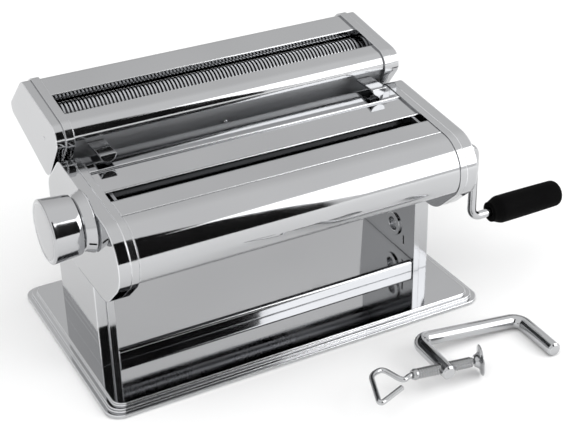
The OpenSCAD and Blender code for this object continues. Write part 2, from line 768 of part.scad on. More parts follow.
// A ring roller with the crank socket in its right-hand end
module driven_ring_roller(c, p, d, groove, x0, count) difference() {
    union() {
        ring_roller(c, p, d, groove, x0, count);
        bar_x(plate_x, cut_gear_x + cut_gear_w - plate_x + 0.2, c[0], c[1], pin_r);
    }
    bar_x(cut_gear_x + cut_gear_w + 0.2 - bore_l, bore_l + 1, c[0], c[1], crank_d / 2 + run);
}

cut_gear_x = plate_x + plate_t + 0.5;
cut_gear_w = 4;
cut_teeth_fine = 14;
cut_teeth_wide = 12;

module fine_rear_roller() color("whitesmoke")
    driven_ring_roller(fine_rear, fine_pitch, fine_d, fine_groove, fine_x0, fine_n);
module fine_front_roller() color("whitesmoke")
    ring_roller(fine_front, fine_pitch, fine_d, fine_groove, fine_x0 + fine_pitch / 2, fine_n - 1);
module wide_upper_roller() color("whitesmoke")
    driven_ring_roller(wide_upper, wide_pitch, wide_d, wide_groove, wide_x0, wide_n);
module wide_lower_roller() color("whitesmoke")
    ring_roller(wide_lower, wide_pitch, wide_d, wide_groove, wide_x0 + wide_pitch / 2, wide_n - 1);

// Pinion on the right-hand end of a cutter roller
module cutter_gear(c, gap, teeth, phase) color("gray")
    along_x(cut_gear_x, cut_gear_w) translate([c[0], c[1]]) difference() {
        rotate(phase) gear_outline(teeth, gap / 2);
        circle(r = pin_r);
    }

module fine_rear_gear() cutter_gear(fine_rear, fine_gap, cut_teeth_fine, tilt);
module fine_front_gear() cutter_gear(fine_front, fine_gap, cut_teeth_fine, tilt + 180 / cut_teeth_fine);
module wide_upper_gear() cutter_gear(wide_upper, wide_gap, cut_teeth_wide, wide_tilt);
module wide_lower_gear() cutter_gear(wide_lower, wide_gap, cut_teeth_wide, wide_tilt + 180 / cut_teeth_wide);

// Comb under a ring roller, its fingers in the grooves between the rings
comb_t = 0.8;
comb_w = 1;
module comb(c, p, d, groove, x0, count, dir) {
    gap = p / 2 + ring_play;
    finger = gap - 0.4;
    root = d / 2 + 0.5;
    tip = 1.5;
    z = c[1] - d / 2 + groove - comb_t - slip;
    translate([0, c[0], z]) scale([1, dir, 1]) linear_extrude(comb_t) polygon(concat(
        [[-cut_panel_x, root + comb_w], [-cut_panel_x, root]],
        [for (k = [0:count - 2]) let (x = x0 + k * p + p / 2 - ring_play + gap / 2)
            each [[x - finger / 2, root], [x - finger / 2, tip], [x + finger / 2, tip], [x + finger / 2, root]]],
        [[cut_panel_x, root], [cut_panel_x, root + comb_w]]));
}

module fine_combs() color("lightgray") {
    comb(fine_rear, fine_pitch, fine_d, fine_groove, fine_x0, fine_n, 1);
    comb(fine_front, fine_pitch, fine_d, fine_groove, fine_x0 + fine_pitch / 2, fine_n - 1, -1);
}
module wide_combs() color("lightgray") {
    comb(wide_upper, wide_pitch, wide_d, wide_groove, wide_x0, wide_n, -1);
    comb(wide_lower, wide_pitch, wide_d, wide_groove, wide_x0 + wide_pitch / 2, wide_n - 1, 1);
}

// ---------------------------------------------------------------- table clamp

clamp_at = [85, -99.8];
clamp_turn = -2.2;
clamp_tilt = 6;             // the clamp leans on its pad and its far arm
clamp_bend = 7;
clamp_z = clamp_d / 2 + clamp_back / 2 * sin(clamp_tilt);
chamfer = 1;

module at_clamp() translate([clamp_at[0], clamp_at[1], clamp_z]) rotate([0, clamp_tilt, clamp_turn]) children();

// Rod along -y from the origin with a chamfered end
module rod_arm(l) rotate([90, 0, 0]) {
    cylinder(h = l - chamfer, r = clamp_d / 2);
    translate([0, 0, l - chamfer]) cylinder(h = chamfer, r1 = clamp_d / 2, r2 = clamp_d / 2 - chamfer, $fn = 48);
}

screw_y = -clamp_arm + 5.8;
thread_play = run;

module clamp_rod() color("silver") at_clamp() difference() {
    union() {
        translate([-clamp_back / 2 + clamp_bend, 0, 0]) rotate([0, 90, 0])
            cylinder(h = clamp_back - 2 * clamp_bend, r = clamp_d / 2);
        for (sx = [-1, 1]) {
            translate([sx * (clamp_back / 2 - clamp_bend), -clamp_bend, 0])
                rotate([0, 0, sx > 0 ? 0 : 90]) rotate_extrude(angle = 90, convexity = 4)
                    translate([clamp_bend, 0]) circle(r = clamp_d / 2);
            translate([sx * clamp_back / 2, -clamp_bend, 0]) rod_arm(clamp_arm - clamp_bend);
        }
    }
    translate([-clamp_back / 2 - 10, screw_y, 0]) rotate([0, 90, 0])
        cylinder(h = 20, r = screw_d / 2 + thread_play);
}

screw_x = -clamp_back / 2 - 19.7;

tail_l = 5;
module clamp_screw() color("silver") at_clamp() translate([screw_x, screw_y, 0]) rotate([0, 90, 0])
    difference() {
        union() {
            cylinder(h = screw_l, r = screw_d / 2);
            translate([0, 0, screw_l]) cylinder(h = 3, r = screw_d / 2 - 1.2);
            translate([0, 0, screw_l + 3]) cylinder(h = 0.8, r = screw_d / 2 - 0.4);
        }
        translate([0, 0, -eps]) cylinder(h = tail_l + eps, r = wire_d / 2);
    }

pad_r = 8.4;
module clamp_pad() color("silver") at_clamp()
    translate([screw_x + screw_l, screw_y, 0]) rotate([0, 90, 0]) rotate_extrude(convexity = 4)
        polygon([[screw_d / 2 - 1.2 + run, 0.6], [screw_d / 2 + 0.6, 0.6], [screw_d / 2 + 1.2, 2.6],
            [pad_r - 0.4, 5], [pad_r, 5.4], [pad_r - 0.4, 6], [0, 6], [0, 4.2], [screw_d / 2, 4.2],
            [screw_d / 2, 2.9], [screw_d / 2 - 1.2 + run, 2.9]]);

// Round wire through a list of points in the x-y plane
module bent_wire(pts, r) {
    for (k = [0:len(pts) - 2]) hull() for (p = [pts[k], pts[k + 1]])
        translate([p[0], p[1], 0]) rotate([0, 90, 0]) sphere(r = r, $fn = 20);
}

handle_pts = [[-1.5, 0], [-7.2, -3.4], [-12, 10.4], [-20.8, 6.8], [-29.2, -17.6], [-10.7, -8.2]];
module clamp_handle() color("silver") at_clamp() translate([screw_x, screw_y, 0])
    bent_wire(concat([[tail_l - wire_d / 2 - 0.1, 0]], handle_pts), wire_d / 2);

base_plate();
base_mat();
left_side_frame();
right_side_frame();
left_side_cover();
right_side_cover();
front_cover();
front_guard();
rear_guard();
rear_cover();
chute_tray();
hopper_end_guards();
roller_scrapers();
tie_rods();
tie_rod_nuts();
frame_screws();
front_roller_bushes();
clamp_socket();
cutter_brackets();
dial_boss();
front_roller();
front_roller_gear();
rear_roller();
rear_roller_gear();
rear_roller_carriers();
carrier_bar();
knob_shaft();
knob_cam();
thickness_knob();
crank_rod();
crank_grip();
left_cutter_cap();
right_cutter_cap();
left_cutter_plate();
right_cutter_plate();
cutter_top_cover();
cutter_nose_cover();
cutter_front_panel();
cutter_rear_panel();
cutter_hooks();
fine_combs();
wide_combs();
fine_rear_roller();
fine_front_roller();
fine_rear_gear();
fine_front_gear();
wide_upper_roller();
wide_lower_roller();
wide_upper_gear();
wide_lower_gear();
clamp_rod();
clamp_screw();
clamp_handle();
clamp_pad();
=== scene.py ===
"""Looks of the pasta roller machine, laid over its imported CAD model."""
import json
import logging
import math
from dataclasses import dataclass, field
from enum import Enum
from typing import Sequence

import bmesh
import bpy
from mathutils import Matrix, Vector


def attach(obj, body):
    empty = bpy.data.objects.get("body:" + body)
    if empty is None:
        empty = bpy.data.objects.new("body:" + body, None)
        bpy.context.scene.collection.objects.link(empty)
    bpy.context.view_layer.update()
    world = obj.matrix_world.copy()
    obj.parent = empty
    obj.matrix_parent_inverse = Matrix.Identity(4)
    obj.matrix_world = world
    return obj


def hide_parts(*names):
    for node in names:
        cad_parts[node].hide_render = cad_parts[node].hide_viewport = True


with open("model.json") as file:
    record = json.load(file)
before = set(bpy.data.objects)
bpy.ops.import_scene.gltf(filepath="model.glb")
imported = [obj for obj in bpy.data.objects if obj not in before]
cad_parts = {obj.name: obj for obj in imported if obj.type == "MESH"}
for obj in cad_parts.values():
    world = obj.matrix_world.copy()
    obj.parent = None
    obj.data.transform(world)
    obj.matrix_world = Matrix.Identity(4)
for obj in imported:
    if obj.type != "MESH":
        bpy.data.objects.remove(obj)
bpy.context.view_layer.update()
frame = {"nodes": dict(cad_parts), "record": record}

log = logging.getLogger("pasta_machine")
MM = 0.001
Point = tuple[float, float, float]
Flat = tuple[float, float]
Socket = bpy.types.NodeSocket
FULL: Flat = (0.0, 1.0)


class Slot(Enum):
    """The record's material slots."""

    POLISHED = "polished_steel"
    PLATED = "plated_steel"
    ROLLER = "roller_steel"
    PLAIN = "plain_steel"
    GEAR = "gear_steel"
    BRONZE = "bronze"
    PLASTIC = "black_plastic"
    MAT = "mat_rubber"
    COMB = "comb_steel"
    KNOB = "knob_metal"


class Lay(Enum):
    """Which way a finish's fine marks run, as noise scales per metre along x, y and z."""

    ROLLED = (60.0, 900.0, 900.0)
    TURNED = (5200.0, 40.0, 40.0)
    EVEN = (700.0, 700.0, 700.0)
    COARSE = (2400.0, 2400.0, 2400.0)


# Noises: scale per metre and octaves
NOISE_ROUGHNESS = 0.55
SMUDGE: Flat = (38.0, 6.0)
CLOUD: Flat = (9.0, 2.0)
FLOOR_CLOUD: Flat = (3.0, 2.0)
FINE_OCTAVES, WAVE_OCTAVES = 4.0, 1.0
# Slow waves run longer across the machine than along the other two axes
WAVE_STRETCH: Point = (0.45, 1.0, 1.0)
RING_DISTORTION, RING_DETAIL, RING_DEPTH = 1.5, 2.0, 3.0
BEVEL_SAMPLES, NOOK_SAMPLES = 6, 8
# Cosine between rounded and flat normal where an edge starts and where it is full
EDGE_COSINE: Flat = (0.995, 0.85)
# Spans of the noises, and what they become
SCUFF_SPAN, SCUFF_SHARE = (0.4, 0.62), (0.15, 1.0)
GLOSS_SPAN: Flat = (0.35, 0.72)
FINE_SPAN, FINE_ROUGHENS = (0.45, 0.8), 0.5
SCUFF_ROUGHENS, SCUFF_LIGHTENS_METAL, SCUFF_LIGHTENS_PLASTIC = 0.3, 0.25, 2.5
CLOUD_SPAN, CLOUD_TONES = (0.3, 0.7), (0.94, 1.04)
# Where ambient occlusion starts and ends the painted shade in nooks
NOOK_SPAN: Flat = (0.15, 0.85)
# Painted highlight: where the lightening along rounded edges starts and where it is full
EDGE_HIGHLIGHT_SPAN: Flat = (0.0, 0.8)


class Nodes:
    """A small hand for building one node tree."""

    def __init__(self, tree: bpy.types.NodeTree) -> None:
        """Clears the node tree of a material or a world, and keeps it."""
        tree.nodes.clear()
        self.tree = tree

    def add(self, kind: str, **sockets: object) -> bpy.types.Node:
        """Adds a node and sets or links its inputs.

        Args:
            kind: the node's type without the ShaderNode prefix.
            **sockets: inputs by name, with underscores for spaces: a value, or an output socket.

        Returns:
            The new node.
        """
        node = self.tree.nodes.new("ShaderNode" + kind)
        for name, value in sockets.items():
            self.put(node, name.replace("_", " "), value)
        return node

    def put(self, node: bpy.types.Node, name: str | int, value: object) -> None:
        """Sets or links one input.

        Args:
            node: the node that takes the value.
            name: the input's name or index.
            value: a constant, or an output socket.
        """
        if isinstance(value, Socket):
            self.tree.links.new(value, node.inputs[name])
        else:
            node.inputs[name].default_value = value

    def math(self, operation: str, a: object, b: object, clamp: bool = False) -> Socket:
        """Adds a math node.

        Args:
            operation: Blender's name of the operation.
            a: first operand.
            b: second operand.
            clamp: whether the result stays between 0 and 1.

        Returns:
            The node's output.
        """
        node = self.tree.nodes.new("ShaderNodeMath")
        node.operation, node.use_clamp = operation, clamp
        self.put(node, 0, a)
        self.put(node, 1, b)
        return node.outputs[0]

    def dot(self, a: Socket, b: object) -> Socket:
        """Adds a dot product.

        Args:
            a: first vector.
            b: second vector, as a socket or a constant.

        Returns:
            The product.
        """
        node = self.add("VectorMath")
        node.operation = "DOT_PRODUCT"
        self.put(node, 0, a)
        self.put(node, 1, b)
        return node.outputs["Value"]

    def ramp(self, value: Socket, span: Flat, to: Flat) -> Socket:
        """Maps a range of a value to another, clamped.

        Args:
            value: the value to map.
            span: where the range starts and ends.
            to: what its two ends become.

        Returns:
            The mapped value.
        """
        node = self.tree.nodes.new("ShaderNodeMapRange")
        self.put(node, 0, value)
        for k, number in enumerate(span + to, start=1):
            self.put(node, k, number)
        return node.outputs[0]

    def times(self, tone: Socket, by: Socket, span: Flat, to: Flat) -> Socket:
        """Multiplies a tone by a value that is mapped from its span to a pair of factors."""
        return self.math("MULTIPLY", tone, self.ramp(by, span, to))

    def noise(self, where: Socket, scale: float, detail: float) -> Socket:
        """Adds a noise from 0 to 1, by its scale per metre and its octaves."""
        return self.add("TexNoise", Vector=where, Scale=scale, Detail=detail,
                        Roughness=NOISE_ROUGHNESS).outputs[0]

    def stretch(self, where: Socket, scale: Point) -> Socket:
        """Scales coordinates by factors along x, y and z."""
        return self.add("Mapping", Vector=where, Scale=scale).outputs[0]

    def bump(self, height: Socket, depth: float, normal: Socket) -> Socket:
        """Lays a relief over a normal; depth is what a height of 1 is, in metres."""
        return self.add("Bump", Height=height, Distance=depth, Strength=1.0,
                        Normal=normal).outputs[0]


@dataclass(frozen=True)
class Finish:
    """One surface finish: colour, gloss, fine marks, slow waves, rounded and worn edges."""

    slot: Slot
    colour: Point
    gloss: Flat = (0.05, 0.12)
    metallic: float = 1.0
    edge: float = 0.0006
    lay: Lay = Lay.EVEN
    mark: float = 2e-6
    wave: float = 0.0
    wave_scale: float = 14.0
    wear: float = 0.25
    # Painted shade: how much the colour darkens in nooks and grooves, from ambient occlusion that
    # reaches as far as nook
    nook_shade: float = 0.0
    rings: float = 0.0
    shine: float = 0.5
    nook: float = 0.006
    # Painted highlight: how much the colour lightens along rounded edges
    rim: float = 0.0

    def relief(self, n: Nodes, where: Socket, fine: Socket, normal: Socket) -> Socket:
        """Lays slow waves, turned rings and fine marks over the rounded normal.

        Args:
            n: the material's nodes.
            where: the coordinates.
            fine: the fine marks, from 0 to 1.
            normal: the normal with its edges rounded.

        Returns:
            The normal that the surface takes.
        """
        if self.wave:
            slow = n.noise(n.stretch(where, WAVE_STRETCH), self.wave_scale, WAVE_OCTAVES)
            normal = n.bump(slow, self.wave, normal)
        if self.rings:
            rings = n.add("TexWave", Vector=where, Scale=self.rings, Distortion=RING_DISTORTION,
                          Detail=RING_DETAIL)
            rings.bands_direction = "X"
            normal = n.bump(rings.outputs["Fac"], self.mark * RING_DEPTH, normal)
        return n.bump(fine, self.mark, normal)

    def roughness(self, n: Nodes, smudge: Socket, fine: Socket, scuff: Socket) -> Socket:
        """Makes the roughness from smudges, fine marks and scuffed edges.

        Args:
            n: the material's nodes.
            smudge: the smudges, from 0 to 1.
            fine: the fine marks, from 0 to 1.
            scuff: how scuffed the edge is, from 0 to 1.

        Returns:
            The roughness.
        """
        rough = n.ramp(smudge, GLOSS_SPAN, self.gloss)
        grain = n.math("MULTIPLY", n.ramp(fine, FINE_SPAN, FULL), self.gloss[0] * FINE_ROUGHENS)
        rough = n.math("ADD", rough, grain)
        return n.math("ADD", rough, n.math("MULTIPLY", scuff, self.wear * SCUFF_ROUGHENS), True)

    def shade(self, n: Nodes, where: Socket, edge: Socket, scuff: Socket) -> Socket:
        """Makes the tone: slow clouds, painted shade in nooks, scuffs, painted highlights on edges.

        Args:
            n: the material's nodes.
            where: the coordinates.
            edge: how near the rounded edge is, from 0 to 1.
            scuff: how scuffed it is, from 0 to 1.

        Returns:
            The factor on the colour.
        """
        tone = n.ramp(n.noise(where, *CLOUD), CLOUD_SPAN, CLOUD_TONES)
        # Painted shade: ambient occlusion darkens the colour in nooks and grooves
        if self.nook_shade:
            shade_in_nooks = n.add("AmbientOcclusion", Distance=self.nook)
            shade_in_nooks.samples = NOOK_SAMPLES
            tone = n.times(tone, shade_in_nooks.outputs["AO"], NOOK_SPAN, (1.0 - self.nook_shade, 1.0))
        lighter = SCUFF_LIGHTENS_METAL if self.metallic else SCUFF_LIGHTENS_PLASTIC
        tone = n.times(tone, scuff, FULL, (1.0, 1.0 + self.wear * lighter))
        # Painted highlight: the colour lightens along rounded edges
        if self.rim:
            tone = n.times(tone, edge, EDGE_HIGHLIGHT_SPAN, (1.0, 1.0 + self.rim))
        return tone

    def make(self) -> bpy.types.Material:
        """Builds the node material.

        Returns:
            The material.
        """
        material = bpy.data.materials.new("finish_" + self.slot.value)
        material.use_nodes = True
        n = Nodes(material.node_tree)
        where = n.add("TexCoord").outputs["Object"]
        smudge = n.noise(where, *SMUDGE)
        fine = n.noise(n.stretch(where, self.lay.value), 1.0, FINE_OCTAVES)
        bevel = n.add("Bevel", Radius=self.edge)
        bevel.samples = BEVEL_SAMPLES
        eased = bevel.outputs[0]
        flat = n.add("NewGeometry").outputs["Normal"]
        edge = n.ramp(n.dot(eased, flat), EDGE_COSINE, FULL)
        scuff = n.times(edge, smudge, SCUFF_SPAN, SCUFF_SHARE)
        tint = n.add("VectorMath")
        tint.operation = "SCALE"
        tint.inputs[0].default_value = self.colour
        n.put(tint, "Scale", self.shade(n, where, edge, scuff))
        skin = n.add("BsdfPrincipled", Base_Color=tint.outputs[0], Metallic=self.metallic,
                     Roughness=self.roughness(n, smudge, fine, scuff),
                     Normal=self.relief(n, where, fine, eased))
        skin.inputs["Specular IOR Level"].default_value = self.shine
        n.add("OutputMaterial", Surface=skin.outputs[0])
        return material


# The nook shade below is painted shade: ambient occlusion darkens rollers, plain steel and combs
# deep in the throat
FINISHES = (
    Finish(Slot.POLISHED, (0.50, 0.505, 0.515), (0.03, 0.08), edge=0.0011, lay=Lay.ROLLED,
           mark=6e-7, wave=0.00006, wear=0.12, rim=0.75),
    Finish(Slot.PLATED, (0.50, 0.505, 0.515), (0.07, 0.16), edge=0.0005, mark=1.5e-6, wear=0.2,
           nook_shade=0.3, rim=0.5),
    Finish(Slot.ROLLER, (0.56, 0.57, 0.59), (0.12, 0.22), edge=0.0003, lay=Lay.TURNED,
           mark=1.5e-6, wear=0.2, nook_shade=0.9, rings=900.0, nook=0.022),
    Finish(Slot.PLAIN, (0.32, 0.325, 0.34), (0.22, 0.38), edge=0.0004, mark=3e-6, wear=0.4,
           nook_shade=0.85, nook=0.02),
    Finish(Slot.GEAR, (0.42, 0.42, 0.43), (0.28, 0.42), edge=0.0003, mark=4e-6, wear=0.4,
           nook_shade=0.5),
    Finish(Slot.BRONZE, (0.60, 0.40, 0.20), (0.22, 0.38), edge=0.0003, lay=Lay.TURNED, mark=3e-6,
           wear=0.3, nook_shade=0.3),
    Finish(Slot.PLASTIC, (0.0012, 0.0012, 0.0013), (0.6, 0.75), 0.0, 0.0008, Lay.COARSE, 1.2e-5,
           wear=0.3, shine=0.05),
    Finish(Slot.MAT, (0.03, 0.03, 0.031), (0.6, 0.8), 0.0, 0.0005, Lay.COARSE, 2e-5, wear=0.4,
           nook_shade=0.2),
    Finish(Slot.COMB, (0.30, 0.305, 0.32), (0.18, 0.3), edge=0.0003, mark=2e-6, wear=0.3,
           nook_shade=0.9, nook=0.02),
    Finish(Slot.KNOB, (0.49, 0.495, 0.505), (0.05, 0.12), edge=0.0006, mark=4e-6, wear=0.3,
           rim=0.8),
)
SATIN_SHEET = Finish(Slot.POLISHED, (0.40, 0.405, 0.415), (0.34, 0.44), edge=0.0003,
                     lay=Lay.ROLLED, mark=1e-6, wear=0.1)
# Painted shade: a darker copy of the roller steel for the two rollers deep in the throat
SHADE_PAINTED_ROLLER = Finish(Slot.ROLLER, (0.24, 0.245, 0.255), (0.16, 0.26), edge=0.0003,
                     lay=Lay.TURNED, mark=1.5e-6, nook_shade=0.9, rings=900.0, nook=0.022)
# The thread's grooves take painted shade from ambient occlusion
CUT_THREAD = Finish(Slot.PLATED, (0.40, 0.404, 0.41), (0.14, 0.26), edge=0.0002, mark=2e-6,
                    nook_shade=0.9, nook=0.0012)

# Nodes and pieces whose finish differs from the rest of their slot; the two rollers take a darker
# copy that paints the throat's shade
OWN_FINISHES = {
    "cutter_front_panel": SATIN_SHEET,
    "front_roller": SHADE_PAINTED_ROLLER,
    "rear_roller": SHADE_PAINTED_ROLLER,
    "screw_thread": CUT_THREAD,
}


def piece(name: str, corners: Sequence[Point], faces: Sequence[Sequence[int]],
          smooth: bool = True) -> bpy.types.Object:
    """Makes a mesh object.

    Args:
        name: the object's name.
        corners: its points, in metres.
        faces: its faces, as point numbers.
        smooth: whether it is shaded smooth.

    Returns:
        The object, linked to the scene.
    """
    mesh = bpy.data.meshes.new(name)
    mesh.from_pydata([tuple(c) for c in corners], [], [tuple(f) for f in faces])
    mesh.validate()
    if smooth:
        mesh.polygons.foreach_set("use_smooth", [True] * len(mesh.polygons))
    made = bpy.data.objects.new(name, mesh)
    bpy.context.scene.collection.objects.link(made)
    return made


@dataclass(frozen=True)
class Card:
    """A curved dark card that only reflections see."""

    name: str
    azimuth: Flat
    rise: Flat
    distance: float = 1.3
    middle: float = 0.09
    lowest: float = 0.003
    level: float = 0.01
    steps: int = 12

    def column(self, turn: float) -> list[Point]:
        """Finds the two points of the card at one azimuth.

        Args:
            turn: the azimuth in degrees, from -y towards +x.

        Returns:
            The lower and the upper point.
        """
        x, y = math.sin(math.radians(turn)), -math.cos(math.radians(turn))
        heights = [self.middle + self.distance * math.tan(math.radians(a)) for a in self.rise]
        return [(self.distance * x, self.distance * y, max(self.lowest, z)) for z in heights]

    def build(self) -> None:
        """Builds the card."""
        material = bpy.data.materials.new(self.name)
        material.use_nodes = True
        n = Nodes(material.node_tree)
        cloth = n.add("BsdfDiffuse", Color=(self.level, self.level, self.level, 1.0))
        n.add("OutputMaterial", Surface=cloth.outputs[0])
        first, last = self.azimuth
        corners = [corner for k in range(self.steps + 1)
                   for corner in self.column(first + (last - first) * k / self.steps)]
        faces = [(2 * k, 2 * k + 2, 2 * k + 3, 2 * k + 1) for k in range(self.steps)]
        card = piece(self.name, corners, faces, False)
        card.data.materials.append(material)
        card.visible_camera = card.visible_shadow = card.visible_diffuse = False


@dataclass(frozen=True)
class Lamp:
    """A soft square lamp that points at the object."""

    name: str
    place: Point
    size: float
    watts: float
    glossy: bool = False

    def build(self) -> None:
        """Builds the lamp."""
        data = bpy.data.lights.new(self.name, "AREA")
        data.size, data.energy = self.size, self.watts
        lamp = bpy.data.objects.new(self.name, data)
        turn = (-Vector(self.place)).to_track_quat("-Z", "Y").to_matrix().to_4x4()
        lamp.matrix_world = Matrix.Translation(self.place) @ turn
        lamp.visible_glossy = self.glossy
        bpy.context.scene.collection.objects.link(lamp)


@dataclass
class Studio:
    """Camera, floor, backdrop and soft light."""

    eye: Point = (-0.27776, -0.58334, 0.41603)
    right: Point = (0.88164, -0.47154, -0.01921)
    down: Point = (-0.24531, -0.42313, -0.87223)
    forward: Point = (0.40316, 0.7737, -0.48872)
    lens: float = 81.58
    sensor: float = 36.0
    clip: Flat = (0.01, 50.0)
    sky: Flat = (0.55, 1.0)
    sky_span: Flat = (-0.7, 0.6)
    bright_side: Point = (0.1, -0.63, 0.77)
    floor_half: float = 6.0
    floor_tones: Flat = (0.93, 0.95)
    card: Card = Card("dark_card", (-2, 25), (-10, 55))
    lamps: tuple[Lamp, ...] = (Lamp("key", (1.05, -1.0, 0.75), 1.2, 10.0, True),
                               Lamp("fill", (-1.0, -0.5, 1.6), 1.4, 9.0))

    def camera(self) -> None:
        """Makes the camera."""
        data = bpy.data.cameras.new("camera")
        data.lens, data.sensor_width = self.lens, self.sensor
        data.clip_start, data.clip_end = self.clip
        shot = bpy.data.objects.new("camera", data)
        columns = (Vector(self.right), -Vector(self.down), -Vector(self.forward))
        turn = Matrix(columns).transposed()
        shot.matrix_world = Matrix.Translation(self.eye) @ turn.to_4x4()
        bpy.context.scene.collection.objects.link(shot)
        bpy.context.scene.camera = shot

    def world(self) -> None:
        """Makes a plain sky: white to the camera, a soft grey gradient to everything else."""
        world = bpy.data.worlds.new("studio")
        world.use_nodes = True
        n = Nodes(world.node_tree)
        toward = n.dot(n.add("TexCoord").outputs["Generated"], self.bright_side)
        grey = n.ramp(toward, self.sky_span, self.sky)
        seen = n.add("LightPath").outputs["Is Camera Ray"]
        level = n.math("MAXIMUM", seen, grey)
        tone = n.add("CombineColor", Red=level, Green=level, Blue=level)
        back = n.add("Background", Color=tone.outputs[0], Strength=1.0)
        n.add("OutputWorld", Surface=back.outputs[0])
        bpy.context.scene.world = world

    def floor(self) -> None:
        """Makes the pale floor."""
        material = bpy.data.materials.new("floor")
        material.use_nodes = True
        n = Nodes(material.node_tree)
        where = n.add("TexCoord").outputs["Object"]
        tone = n.ramp(n.noise(where, *FLOOR_CLOUD), CLOUD_SPAN, self.floor_tones)
        colour = n.add("CombineColor", Red=tone, Green=tone, Blue=tone)
        skin = n.add("BsdfDiffuse", Color=colour.outputs[0])
        n.add("OutputMaterial", Surface=skin.outputs[0])
        far = self.floor_half
        corners = [(-far, -far, 0), (far, -far, 0), (far, far, 0), (-far, far, 0)]
        plane = piece("floor", corners, [(0, 1, 2, 3)], False)
        plane.data.materials.append(material)

    def build(self) -> None:
        """Builds the whole studio."""
        bpy.context.scene.view_settings.view_transform = "Standard"
        self.camera()
        self.world()
        self.floor()
        self.card.build()
        for lamp in self.lamps:
            lamp.build()


@dataclass
class Wardrobe:
    """Holds the materials and dresses CAD nodes and new pieces."""

    materials: dict[Slot, bpy.types.Material] = field(default_factory=dict)

    def build(self) -> None:
        """Builds every finish and puts it on the CAD nodes of its slot."""
        for finish in FINISHES:
            self.materials[finish.slot] = finish.make()
        for part in frame["record"]["subparts"]:
            node = frame["nodes"][part["node"]]
            self.dress(node, Slot(part["material_slot"]), part["node"])

    def dress(self, thing: bpy.types.Object, slot: Slot, name: str) -> None:
        """Gives an object one material: its own where it has one, or else its slot's.

        Args:
            thing: the object.
            slot: whose material it takes.
            name: what the list of own finishes may call it.
        """
        own = OWN_FINISHES.get(name)
        material = own.make() if own else self.materials[slot]
        if not thing.material_slots:
            thing.data.materials.append(None)
        for place in thing.material_slots:
            place.material = material

    def finish(self, thing: bpy.types.Object, slot: Slot, body: str, *nodes: str) -> None:
        """Dresses a new piece, hangs it on its body and hides the CAD nodes that it replaces.

        Args:
            thing: the piece.
            slot: the slot whose finish it takes.
            body: the body that it rides on.
            *nodes: CAD nodes that it replaces.
        """
        self.dress(thing, slot, thing.name)
        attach(thing, body)
        if nodes:
            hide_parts(*nodes)
        log.info("built %s on %s", thing.name, body)


def creased(thing: bpy.types.Object, angle: float = 34.0) -> bpy.types.Object:
    """Keeps sharp edges sharp on a smooth piece.

    Args:
        thing: the piece.
        angle: edges that turn by more than this, in degrees, stay sharp.

    Returns:
        The same piece.
    """
    work = bmesh.new()
    work.from_mesh(thing.data)
    bmesh.ops.recalc_face_normals(work, faces=work.faces)
    limit = math.radians(angle)
    for edge in work.edges:
        edge.smooth = not (len(edge.link_faces) == 2 and edge.calc_face_angle(0.0) > limit)
    work.to_mesh(thing.data)
    work.free()
    return thing


def walls(rings: Sequence[Sequence[int]]) -> list[tuple[int, ...]]:
    """Joins each ring of point numbers to the next with four-sided faces."""
    n = len(rings[0])
    return [(a[k], a[(k + 1) % n], b[(k + 1) % n], b[k])
            for a, b in zip(rings, rings[1:]) for k in range(n)]


def capped(rings: Sequence[Sequence[int]]) -> list[tuple[int, ...]]:
    """Joins each ring to the next and closes both ends."""
    return walls(rings) + [tuple(reversed(rings[0])), tuple(rings[-1])]


def rows_of(count: int, n: int) -> list[range]:
    """Numbers the points of a grid, as count rows of n."""
    return [range(k * n, (k + 1) * n) for k in range(count)]


def swept(name: str, section: Sequence[Flat], x0: float, x1: float,
          cuts: int = 24) -> bpy.types.Object:
    """Sweeps a closed (y, z) outline, counter-clockwise seen from +x, from x0 to x1."""
    corners = [(x0 + (x1 - x0) * k / cuts, y, z) for k in range(cuts + 1) for y, z in section]
    return piece(name, corners, capped(rows_of(cuts + 1, len(section))), False)


def lathed(name: str, profile: Sequence[Flat], place: Matrix, sides: int) -> bpy.types.Object:
    """Turns a profile about the local x axis.

    Args:
        name: the piece's name.
        profile: (along, radius) points from end to end; a radius of 0 closes the last one.
        place: where local x and its origin go.
        sides: how many facets go round.

    Returns:
        The piece.
    """
    corners: list[Point] = []
    rings: list[list[int]] = []
    for along, radius in profile:
        count = sides if radius else 1
        rings.append([len(corners) + k % count for k in range(sides)])
        for k in range(count):
            turn = math.tau * k / sides
            spot = Vector((along, radius * math.cos(turn), radius * math.sin(turn)))
            corners.append(tuple(place @ spot))
    faces = [tuple(dict.fromkeys(face)) for face in walls(rings)]
    ends = [tuple(reversed(rings[0])), tuple(rings[-1])]
    faces += [end for end in ends if end[0] != end[1]]
    return creased(piece(name, corners, faces))


def rounded(centre: Flat, reach: Flat, steps: int, first: int = 1) -> list[Flat]:
    """Draws the rounded outer corner of a profile.

    Args:
        centre: the (along, radius) point that it goes about.
        reach: how far it goes along and out.
        steps: how many parts it has.
        first: 0 for all its points, 1 to leave out the first.

    Returns:
        The corner's (along, radius) points.
    """
    turns = [math.radians(90 * k / steps) for k in range(first, steps + 1)]
    return [(centre[0] + reach[0] * math.sin(turn), centre[1] + reach[1] * math.cos(turn))
            for turn in turns]


def filleted(path: Sequence[Vector], radius: float, steps: int = 6) -> list[Vector]:
    """Rounds the corners of a path.

    Args:
        path: its points.
        radius: how far from a corner the bend starts, where the path is long enough.
        steps: points in each bend.

    Returns:
        The rounded path.
    """
    most = 0.45
    out = [path[0]]
    for before, at, after in zip(path, path[1:], path[2:]):
        back = (before - at).normalized() * min(radius, (before - at).length * most)
        on = (after - at).normalized() * min(radius, (after - at).length * most)
        for k in range(steps + 1):
            t = k / steps
            out.append(at + back * (1 - t) ** 2 + on * t ** 2)
    return out + [path[-1]]


# Rings of a wire's rounded end: how far in and how wide, as shares of its radius
WIRE_END: tuple[Flat, ...] = ((0.0, 0.55), (0.12, 0.82), (0.35, 1.0))


